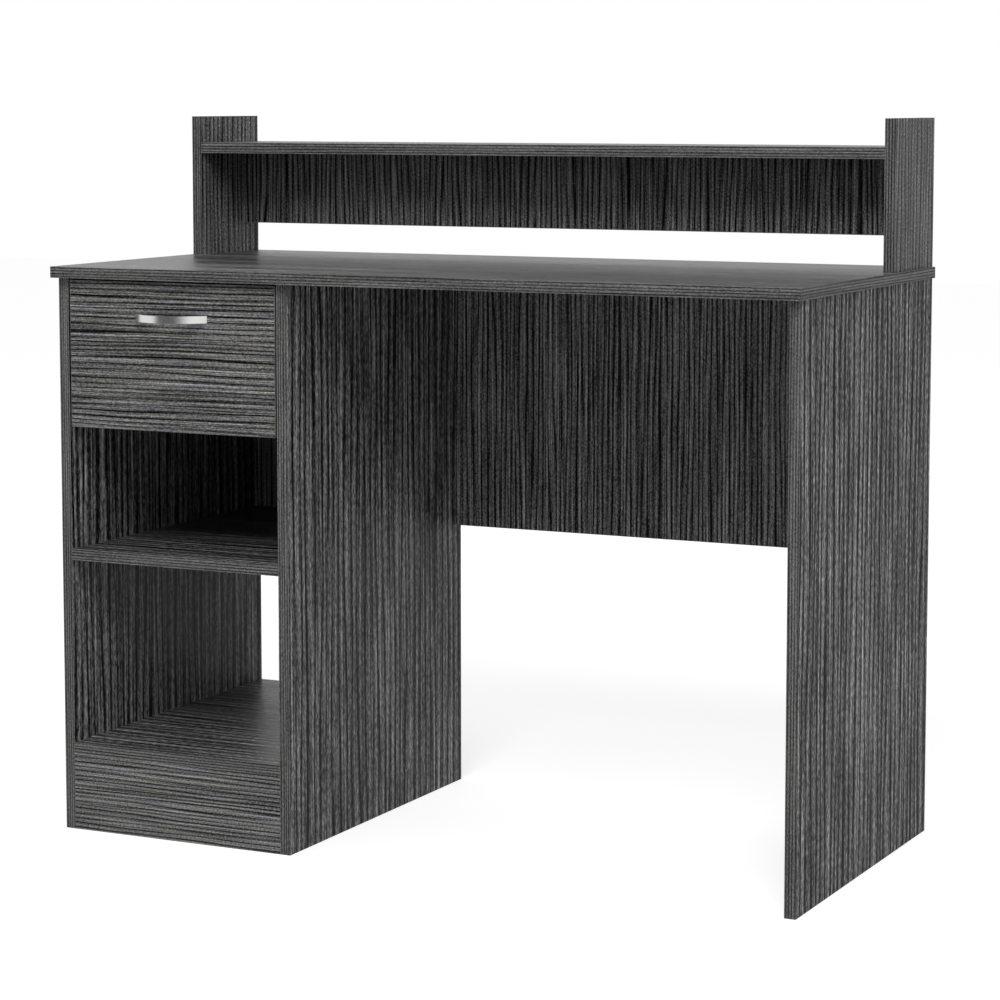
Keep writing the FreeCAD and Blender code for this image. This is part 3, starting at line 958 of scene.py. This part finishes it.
@dataclass(frozen=True)
class BowHandle:
    """The drawer's handle: a strip bent to an arc on two feet, with rounded long edges."""

    node: str = "drawer_handle"
    foot_width: float = 12 * MM
    thickness: float = 5 * MM
    lower_trim: float = 1.2 * MM
    edge_round: float = 0.4 * MM
    round_steps: int = 4
    steps: int = 120

    def build(self, material: Material) -> None:
        """Make the handle where the CAD one is.

        Args:
            material: its finish.
        """
        low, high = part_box(self.node)
        low.z += self.lower_trim
        middle, half, reach = (low.x + high.x) / 2, (high.x - low.x) / 2, high.y - low.y
        outer = self.arc(half, reach)
        inner = self.arc(half - self.foot_width, reach - self.thickness)
        bow = bmesh.new()
        sections = []
        for front, back in zip(outer, inner):
            corners = [(*front, low.z), (*back, low.z), (*back, high.z), (*front, high.z)]
            sections.append([bow.verts.new((middle + x, high.y - y, z)) for x, y, z in corners])
        for first, second in zip(sections, sections[1:]):
            for one, two in ((0, 1), (1, 2), (2, 3), (3, 0)):
                bow.faces.new((first[one], first[two], second[two], second[one]))
        bow.faces.new(sections[0])
        bow.faces.new(sections[-1])
        long_edges = [
            bow.edges.get((first[corner], second[corner]))
            for first, second in zip(sections, sections[1:]) for corner in range(4)
        ]
        bmesh.ops.bevel(
            bow, geom=long_edges, offset=self.edge_round, segments=self.round_steps, profile=0.5,
            affect="EDGES",
        )
        piece = stand_in(bow, "bow_handle", "drawer", self.node, material)
        piece.data.shade_smooth()
        piece.data.set_sharp_from_angle(angle=SHARP_ANGLE)
        piece.modifiers.new("flat_faces", "WEIGHTED_NORMAL").keep_sharp = True
        LOG.info("%s has %d faces", piece.name, len(piece.data.polygons))

    def arc(self, half: float, reach: float) -> Outline:
        """Points on an arc from one foot to the other.

        Args:
            half: half of its chord.
            reach: how far its crown stands in front of the chord.

        Returns:
            Each point's place along the chord and its distance in front of it.
        """
        radius = (half ** 2 + reach ** 2) / (2 * reach)
        open_turn = math.asin(half / radius)
        turns = [open_turn * (2 * step / self.steps - 1) for step in range(self.steps + 1)]
        return [(radius * math.sin(turn), reach - radius * (1 - math.cos(turn))) for turn in turns]


@dataclass(frozen=True)
class CarvedHead:
    """The carving in the flat heads of one kind of fitting, which the plain heads lack."""

    node: str
    body: str
    slot: str
    head_radius: float
    rim: float
    dish_depth: float
    arm_length: float
    arm_width: float
    recess_depth: float
    arrow: bool = False
    side_count: int = 40
    dish_slope: float = 0.5
    taper: float = 0.6
    arrow_gap: float = 0.9 * MM
    arrow_length: float = 1.5 * MM
    arrow_half: float = 1.0 * MM
    arrow_depth: float = 0.4 * MM
    arrow_taper: float = 0.8
    flat_angle: float = math.radians(0.5)
    round_slack: float = 0.05 * MM
    radius_slack: float = 0.1 * MM
    fewest_corners: int = 8

    def build(self, material: Material) -> None:
        """Make the fittings again with carved heads, in place of the plain ones.

        Args:
            material: their finish.
        """
        carved = bmesh.new()
        carved.from_mesh(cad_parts[self.node].data)
        bmesh.ops.remove_doubles(carved, verts=carved.verts, dist=WELD_GAP)
        bmesh.ops.dissolve_limit(carved, angle_limit=self.flat_angle, verts=carved.verts, edges=carved.edges)
        heads = [face for face in carved.faces if self.is_head(face)]
        for head in heads:
            self.carve(carved, head)
        name = self.node + "_carved"
        stand_in(carved, name, self.body, self.node, material)
        LOG.info("%s has %d carved heads", name, len(heads))

    def is_head(self, face: bmesh.types.BMFace) -> bool:
        """Tell the flat end of a head from the other faces.

        Args:
            face: the face that is looked at.

        Returns:
            Whether it is the whole flat end of a head.
        """
        middle = face.calc_center_median()
        reach = [(vertex.co - middle).length for vertex in face.verts]
        is_round = len(reach) >= self.fewest_corners and max(reach) - min(reach) < self.round_slack
        return is_round and abs(max(reach) - self.head_radius) < self.radius_slack

    def carve(self, carved: BMesh, head: bmesh.types.BMFace) -> None:
        """Cut a dish, a cross and the arrow into one head.

        Args:
            carved: the mesh that holds it.
            head: the flat end that is carved.
        """
        middle, outward = head.calc_center_median(), head.normal.copy()
        across = (head.verts[0].co - middle).normalized()
        if self.arrow:
            across = self.toward_bolt(head, middle, outward)
        axes = (middle, across, outward.cross(across), outward)
        outline = list(head.edges)
        carved.faces.remove(head)
        rim_radius = self.head_radius - self.rim
        rim = self.loop(carved, axes, self.ring(rim_radius), 0.0)
        self.fill(carved, outline + rim)
        dish_radius = rim_radius - self.dish_depth * self.dish_slope
        dish = self.loop(carved, axes, self.ring(dish_radius), self.dish_depth)
        self.bridge(carved, rim, dish)
        cuts = [(self.cross, self.recess_depth, self.taper)]
        if self.arrow:
            cuts.append((self.pointer, self.arrow_depth, self.arrow_taper))
        mouths = [self.loop(carved, axes, shape(1.0), self.dish_depth) for shape, _, _ in cuts]
        self.fill(carved, dish + [edge for mouth in mouths for edge in mouth])
        for mouth, (shape, depth, taper) in zip(mouths, cuts):
            floor = self.loop(carved, axes, shape(taper), self.dish_depth + depth)
            self.bridge(carved, mouth, floor)
            self.fill(carved, floor)

    @staticmethod
    def toward_bolt(head: bmesh.types.BMFace, middle: Vector, outward: Vector) -> Vector:
        """The direction in which a cam's notch, and so its bolt, lies.

        Args:
            head: the cam's visible end.
            middle: the middle of that end.
            outward: where it faces.

        Returns:
            A unit vector in the plane of the head.
        """
        found = list(head.verts)
        known = set(found)
        # The list grows as it is walked, in the same order each run
        for vertex in found:
            for link in vertex.link_edges:
                other = link.other_vert(vertex)
                if other not in known:
                    known.add(other)
                    found.append(other)
        pull = Vector()
        for vertex in found:
            offset = vertex.co - middle
            pull += offset - outward * offset.dot(outward)
        return -pull.normalized()

    @staticmethod
    def loop(carved: BMesh, axes: HeadAxes, points: Outline, depth: float) -> Edges:
        """A closed outline at a depth under the head.

        Args:
            carved: the mesh that takes it.
            axes: the head's middle and its three directions.
            points: its corners in the head's plane.
            depth: how far below the head it lies.

        Returns:
            Its edges.
        """
        middle, across, beside, outward = axes
        corners = [
            carved.verts.new(middle + across * u + beside * v - outward * depth) for u, v in points
        ]
        return [carved.edges.new(pair) for pair in zip(corners, corners[1:] + corners[:1])]

    def ring(self, radius: float) -> Outline:
        """A round outline."""
        turns = [2 * math.pi * index / self.side_count for index in range(self.side_count)]
        return [(radius * math.cos(turn), radius * math.sin(turn)) for turn in turns]

    def cross(self, scale: float) -> Outline:
        """The cross that a driver turns.

        Args:
            scale: its size, where 1 is its mouth.

        Returns:
            Its outline.
        """
        long, half = self.arm_length * scale, self.arm_width / 2 * scale
        corners = [(long, -half), (long, half), (half, half)]
        points = []
        for _ in range(4):
            points += corners
            corners = [(-v, u) for u, v in corners]
        return points

    def pointer(self, scale: float) -> Outline:
        """The small arrow that shows where the notch lies.

        Args:
            scale: its size, where 1 is its mouth.

        Returns:
            Its outline.
        """
        tip = self.head_radius - self.rim - self.arrow_gap
        back, half = tip - self.arrow_length * scale, self.arrow_half * scale
        return [(tip, 0.0), (back, half), (back, -half)]

    @staticmethod
    def fill(carved: BMesh, edges: Edges) -> None:
        """Close a flat region, with any holes that its outlines leave."""
        bmesh.ops.triangle_fill(carved, use_beauty=True, use_dissolve=False, edges=edges)

    @staticmethod
    def bridge(carved: BMesh, first: Edges, second: Edges) -> None:
        """Join two outlines with the same number of corners."""
        bmesh.ops.bridge_loops(carved, edges=first + second)


def screw_head(node: str, body: str, radius: float, recess: float) -> CarvedHead:
    """A screw's head with a cross in it.

    Args:
        node: the screws' node.
        body: the body that they ride.
        radius: their heads' radius, in millimetres.
        recess: the cross's depth, in millimetres.

    Returns:
        The carving.
    """
    return CarvedHead(
        node, body, "zinc_plated_steel", head_radius=radius * MM, rim=0.5 * MM, dish_depth=0.12 * MM,
        arm_length=radius * 0.56 * MM, arm_width=radius * 0.2 * MM, recess_depth=recess * MM,
    )


def cam_head(node: str, body: str, recess: float) -> CarvedHead:
    """A cam's head with a rim, a cross and an arrow.

    Args:
        node: the cams' node.
        body: the body that they ride.
        recess: the cross's depth, in millimetres.

    Returns:
        The carving.
    """
    return CarvedHead(
        node, body, "cam_alloy", head_radius=7.5 * MM, rim=1.0 * MM, dish_depth=0.7 * MM,
        arm_length=3.4 * MM, arm_width=1.5 * MM, recess_depth=recess * MM, arrow=True,
    )


@dataclass
class Fittings:
    """Handle, runners, rollers and fasteners, by finish."""

    handle: BowHandle = BowHandle()
    zinc: tuple[str, ...] = ("cabinet_roller_pins", "drawer_roller_pins", "cam_bolts", "drawer_cam_bolts")
    screws: tuple[CarvedHead, ...] = (
        screw_head("handle_screws", "drawer", 4.0, 1.7),
        screw_head("hutch_screws", "root", 4.2, 2.2),
        screw_head("cabinet_rail_screws", "root", 3.6, 1.5),
        screw_head("drawer_rail_screws", "drawer", 3.6, 1.5),
        screw_head("drawer_back_screws", "drawer", 3.8, 1.8),
    )
    cams: tuple[CarvedHead, ...] = (
        cam_head("cam_housings", "root", 5.0),
        cam_head("drawer_cam_housings", "drawer", 4.0),
    )
    rails: tuple[str, ...] = (
        "left_cabinet_rail", "right_cabinet_rail", "left_drawer_rail", "right_drawer_rail",
    )
    rollers: tuple[str, ...] = (
        "left_cabinet_roller", "right_cabinet_roller", "left_drawer_roller", "right_drawer_roller",
    )
    dowels: tuple[str, ...] = ("wood_dowels", "drawer_dowels")

    def build(self) -> None:
        """Dress every fitting."""
        groups = (
            (self.zinc, Metal(MetalKind.ZINC_PLATE)),
            (self.rails, Coat(CoatKind.RAIL_COAT)),
            (self.rollers, Coat(CoatKind.NYLON)),
            (self.dowels, Coat(CoatKind.BEECH)),
        )
        for nodes, finish in groups:
            material = finish.material()
            for node in nodes:
                dress(node, material)
        self.handle.build(Metal(MetalKind.SATIN_NICKEL).material())
        for heads, kind in ((self.screws, MetalKind.ZINC_PLATE), (self.cams, MetalKind.CAM_ALLOY)):
            material = Metal(kind).material()
            for head in heads:
                head.build(material)


@dataclass
class Studio:
    """A pale floor, a white surround, a soft lamp and a dark card."""

    floor_half: float = 12.0
    floor_drop: float = 0.3 * MM
    floor_grey: float = 0.72
    floor_lift: float = 0.53
    ambient: float = 0.62
    key_watts: float = 124.0
    key_size: float = 2.0
    key_place: Point = (1.0, -3.05, 3.7)
    key_aim: Point = (0.0, 0.0, 0.45)
    card_middle: Point = (-1.10, -2.60, 0.55)
    card_facing: Point = (-0.511, 2.0, 0.0)
    card_size: Pair = (5.2, 2.6)
    card_solid: float = 0.35
    card_grey: float = 0.1

    def build(self) -> None:
        """Make the surround, the floor, the lamp and the card."""
        self.surround()
        self.floor()
        self.lamp()
        self.card()

    def surround(self) -> None:
        """A world that lights evenly, and shows white to the camera and in reflections."""
        world = bpy.data.worlds.new("surround")
        bpy.context.scene.world = world
        shader = ShaderTree(world)
        seen = self.seen(shader)
        strength = self.ambient + seen * (1.0 - self.ambient)
        background = shader.node("Background", inputs={"Color": WHITE, "Strength": strength})
        shader.node("OutputWorld", inputs={"Surface": background.outputs[0]})

    @staticmethod
    def seen(shader: ShaderTree) -> Field:
        """Tell what the camera sees from what only lights the desk.

        Args:
            shader: the tree that it is made in.

        Returns:
            1 for what it sees straight on, in a reflection or through glass, else 0.
        """
        path = shader.node("LightPath")
        rays = [shader.value(path, name + " Ray") for name in ("Is Camera", "Is Glossy", "Is Transmission")]
        return (rays[0] + rays[1] + rays[2]).least(1.0)

    def floor(self) -> None:
        """A wide plane just under the panels' feet, which keeps the desk's shadow."""
        half = self.floor_half
        corners = [(-half, -half), (half, -half), (half, half), (-half, half)]
        mesh = bpy.data.meshes.new("floor")
        mesh.from_pydata([(x, y, -self.floor_drop) for x, y in corners], [], [(0, 1, 2, 3)])
        floor = bpy.data.objects.new("floor", mesh)
        bpy.context.scene.collection.objects.link(floor)
        material, shader = new_material("floor_paper")
        paper = shader.node("BsdfDiffuse", inputs={"Color": (self.floor_grey,) * 3})
        lift = self.seen(shader) * self.floor_lift
        glow = shader.node("Emission", inputs={"Color": WHITE, "Strength": lift})
        both = shader.node("AddShader", inputs={"Shader": paper.outputs[0], "Shader_001": glow.outputs[0]})
        shader.node("OutputMaterial", inputs={"Surface": both.outputs[0]})
        mesh.materials.append(material)

    def card(self) -> None:
        """A dark card to the front left, which only shows as the dark band on bright metal."""
        wide, high = [side / 2 for side in self.card_size]
        corners = [(-wide, -high), (wide, -high), (wide, high), (-wide, high)]
        mesh = bpy.data.meshes.new("dark_card")
        mesh.from_pydata([(x, y, 0.0) for x, y in corners], [], [(0, 1, 2, 3)])
        card = bpy.data.objects.new("dark_card", mesh)
        turn = Vector(self.card_facing).to_track_quat("Z", "Y")
        card.matrix_world = Matrix.Translation(self.card_middle) @ turn.to_matrix().to_4x4()
        bpy.context.scene.collection.objects.link(card)
        material, shader = new_material("dark_felt")
        felt = shader.node("BsdfDiffuse", inputs={"Color": (self.card_grey,) * 3})
        clear = shader.node("BsdfTransparent")
        edge = shader.position()[0].size().ramp(wide * self.card_solid, wide)
        graded = shader.node(
            "MixShader", inputs={"Fac": edge, "Shader": felt.outputs[0], "Shader_001": clear.outputs[0]},
        )
        shader.node("OutputMaterial", inputs={"Surface": graded.outputs[0]})
        mesh.materials.append(material)
        card.visible_camera = False
        card.visible_diffuse = False
        card.visible_shadow = False

    def lamp(self) -> None:
        """A square soft lamp above the front right."""
        data = bpy.data.lights.new("key_lamp", "AREA")
        data.shape = "SQUARE"
        data.size = self.key_size
        data.energy = self.key_watts
        lamp = bpy.data.objects.new("key_lamp", data)
        lamp.location = self.key_place
        aim = Vector(self.key_aim) - Vector(self.key_place)
        lamp.rotation_euler = aim.to_track_quat("-Z", "Y").to_euler()
        bpy.context.scene.collection.objects.link(lamp)


@dataclass
class Camera:
    """The camera, from the front right and a little above the desktop."""

    place: Point = (1.7583, -3.5613, 0.9835)
    turn_left: float = math.radians(26.077)
    tilt_down: float = math.radians(5.7)
    focal_share: float = 2.9967
    rise: float = -0.1011
    sensor: float = 36.0

    def build(self) -> None:
        """Make the camera and set it as the scene's own."""
        data = bpy.data.cameras.new("camera")
        data.sensor_width = self.sensor
        data.lens = self.focal_share * self.sensor
        data.shift_y = self.rise
        camera = bpy.data.objects.new("camera", data)
        camera.location = self.place
        camera.rotation_euler = (math.pi / 2 - self.tilt_down, 0.0, self.turn_left)
        bpy.context.scene.collection.objects.link(camera)
        bpy.context.scene.camera = camera


def main() -> None:
    """Build the looks in order."""
    logging.basicConfig(level=logging.INFO, format="%(message)s")
    bpy.context.scene.view_settings.view_transform = "Standard"
    for maker in (Carcass(), Hutch(), Drawer(), Fittings(), Studio(), Camera()):
        maker.build()
        LOG.info("%s done", type(maker).__name__)


if __name__ == "__main__":
    main()
